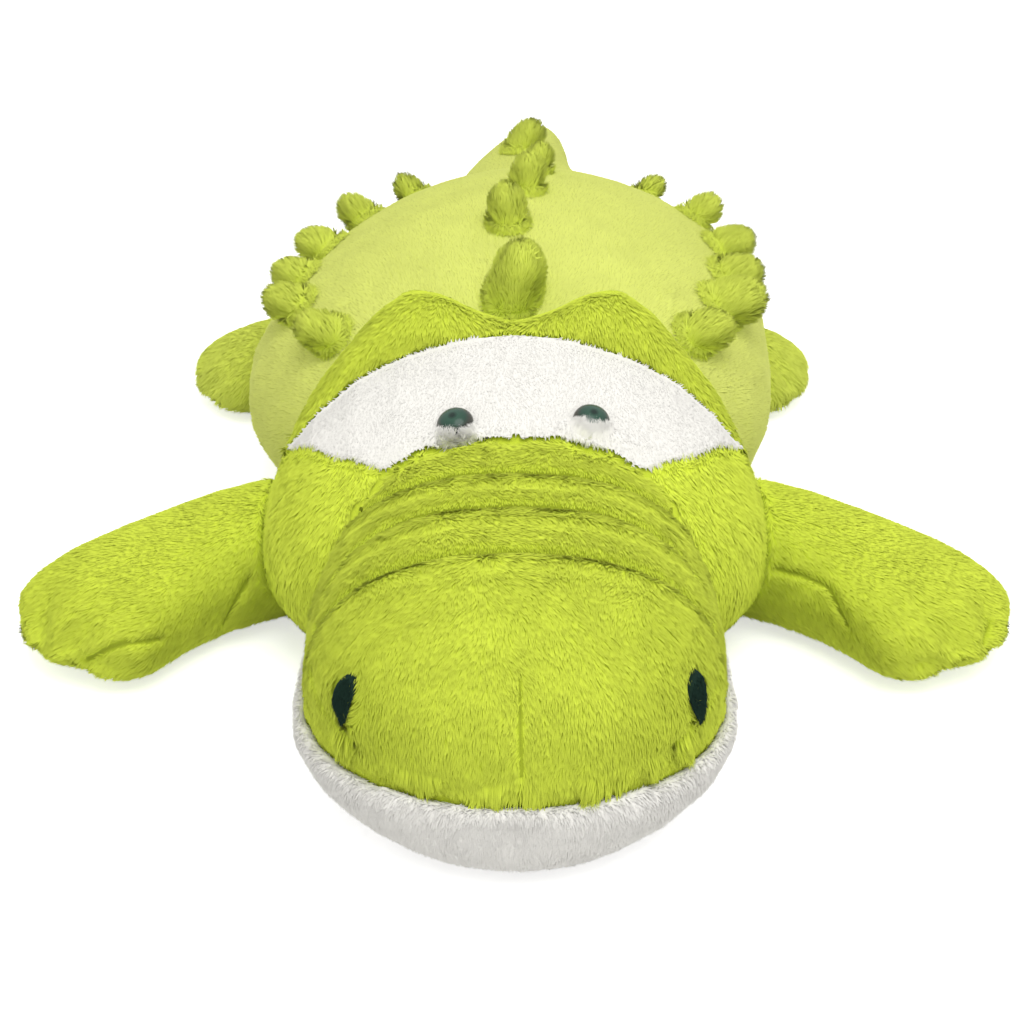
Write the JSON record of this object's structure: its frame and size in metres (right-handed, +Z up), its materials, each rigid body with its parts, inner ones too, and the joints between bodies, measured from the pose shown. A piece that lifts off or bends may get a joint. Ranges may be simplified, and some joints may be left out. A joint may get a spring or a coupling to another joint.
{
  "type": "stuffed crocodile",
  "caption": "Large plush crocodile lying on its belly: flat broad snout with creases, white band round the eyes, spiked back, legs and tail that lift at their seams.",
  "frame": {"origin": "on the ground under the middle of the animal's length and of its spread fore legs", "axes": "+Z up, +Y from the nose to the tail, +X to the animal's own left"},
  "size_m": [0.6362, 1.03, 0.2205],
  "materials": {
    "green_pile": "short soft pile, lime green",
    "back_pile": "short soft pile, paler yellow green",
    "white_pile": "short soft pile, white",
    "nostril_felt": "dark green felt",
    "eye_plastic": "glossy dark green",
    "washer_plastic": "moulded white plastic",
    "stuffing": "loose polyester fibre"
  },
  "bodies": {
    "torso": {"body_cover": "back_pile", "body_stuffing": "stuffing", "head_cover": "green_pile", "head_stuffing": "stuffing", "snout_cover": "green_pile", "jaw_cover": "white_pile", "muzzle_stuffing": "stuffing", "brow_cover": "green_pile", "eye_mask": "white_pile", "eye_left": "eye_plastic", "eye_right": "eye_plastic", "eye_washer_left": "washer_plastic", "eye_washer_right": "washer_plastic", "nostril_left": "nostril_felt", "nostril_right": "nostril_felt", "side_spike_left_1": "green_pile", "side_spike_left_2": "green_pile", "side_spike_left_3": "green_pile", "side_spike_left_4": "green_pile", "side_spike_left_5": "green_pile", "side_spike_left_6": "green_pile", "side_spike_right_1": "green_pile", "side_spike_right_2": "green_pile", "side_spike_right_3": "green_pile", "side_spike_right_4": "green_pile", "side_spike_right_5": "green_pile", "side_spike_right_6": "green_pile", "crest_spike_1": "green_pile", "crest_spike_2": "green_pile", "crest_spike_3": "green_pile", "crest_spike_4": "green_pile"},
    "tail": {"tail_cover": "back_pile", "tail_stuffing": "stuffing", "tail_spike": "green_pile"},
    "fore_leg_left": {"fore_leg_left_cover": "green_pile", "fore_leg_left_stuffing": "stuffing"},
    "fore_leg_right": {"fore_leg_right_cover": "green_pile", "fore_leg_right_stuffing": "stuffing"},
    "hind_leg_left": {"hind_leg_left_cover": "green_pile", "hind_leg_left_stuffing": "stuffing"},
    "hind_leg_right": {"hind_leg_right_cover": "green_pile", "hind_leg_right_stuffing": "stuffing"}
  },
  "joints": [
    {"name": "fore_leg_left_lift", "type": "hinge", "parent": "torso", "child": "fore_leg_left", "pos_m": [0.14223, -0.172, 0.092], "axis": [0, -1, 0], "range_deg": [0, 40]},
    {"name": "fore_leg_right_lift", "type": "hinge", "parent": "torso", "child": "fore_leg_right", "pos_m": [-0.14177, -0.172, 0.092], "axis": [0, 1, 0], "range_deg": [0, 40]},
    {"name": "hind_leg_left_lift", "type": "hinge", "parent": "torso", "child": "hind_leg_left", "pos_m": [0.16994, 0.145, 0.068], "axis": [0, -1, 0], "range_deg": [0, 35]},
    {"name": "hind_leg_right_lift", "type": "hinge", "parent": "torso", "child": "hind_leg_right", "pos_m": [-0.14406, 0.145, 0.068], "axis": [0, 1, 0], "range_deg": [0, 35]},
    {"name": "tail_lift", "type": "hinge", "parent": "torso", "child": "tail", "pos_m": [0, 0.31, 0.10335], "axis": [1, 0, 0], "range_deg": [0, 25]}
  ]
}
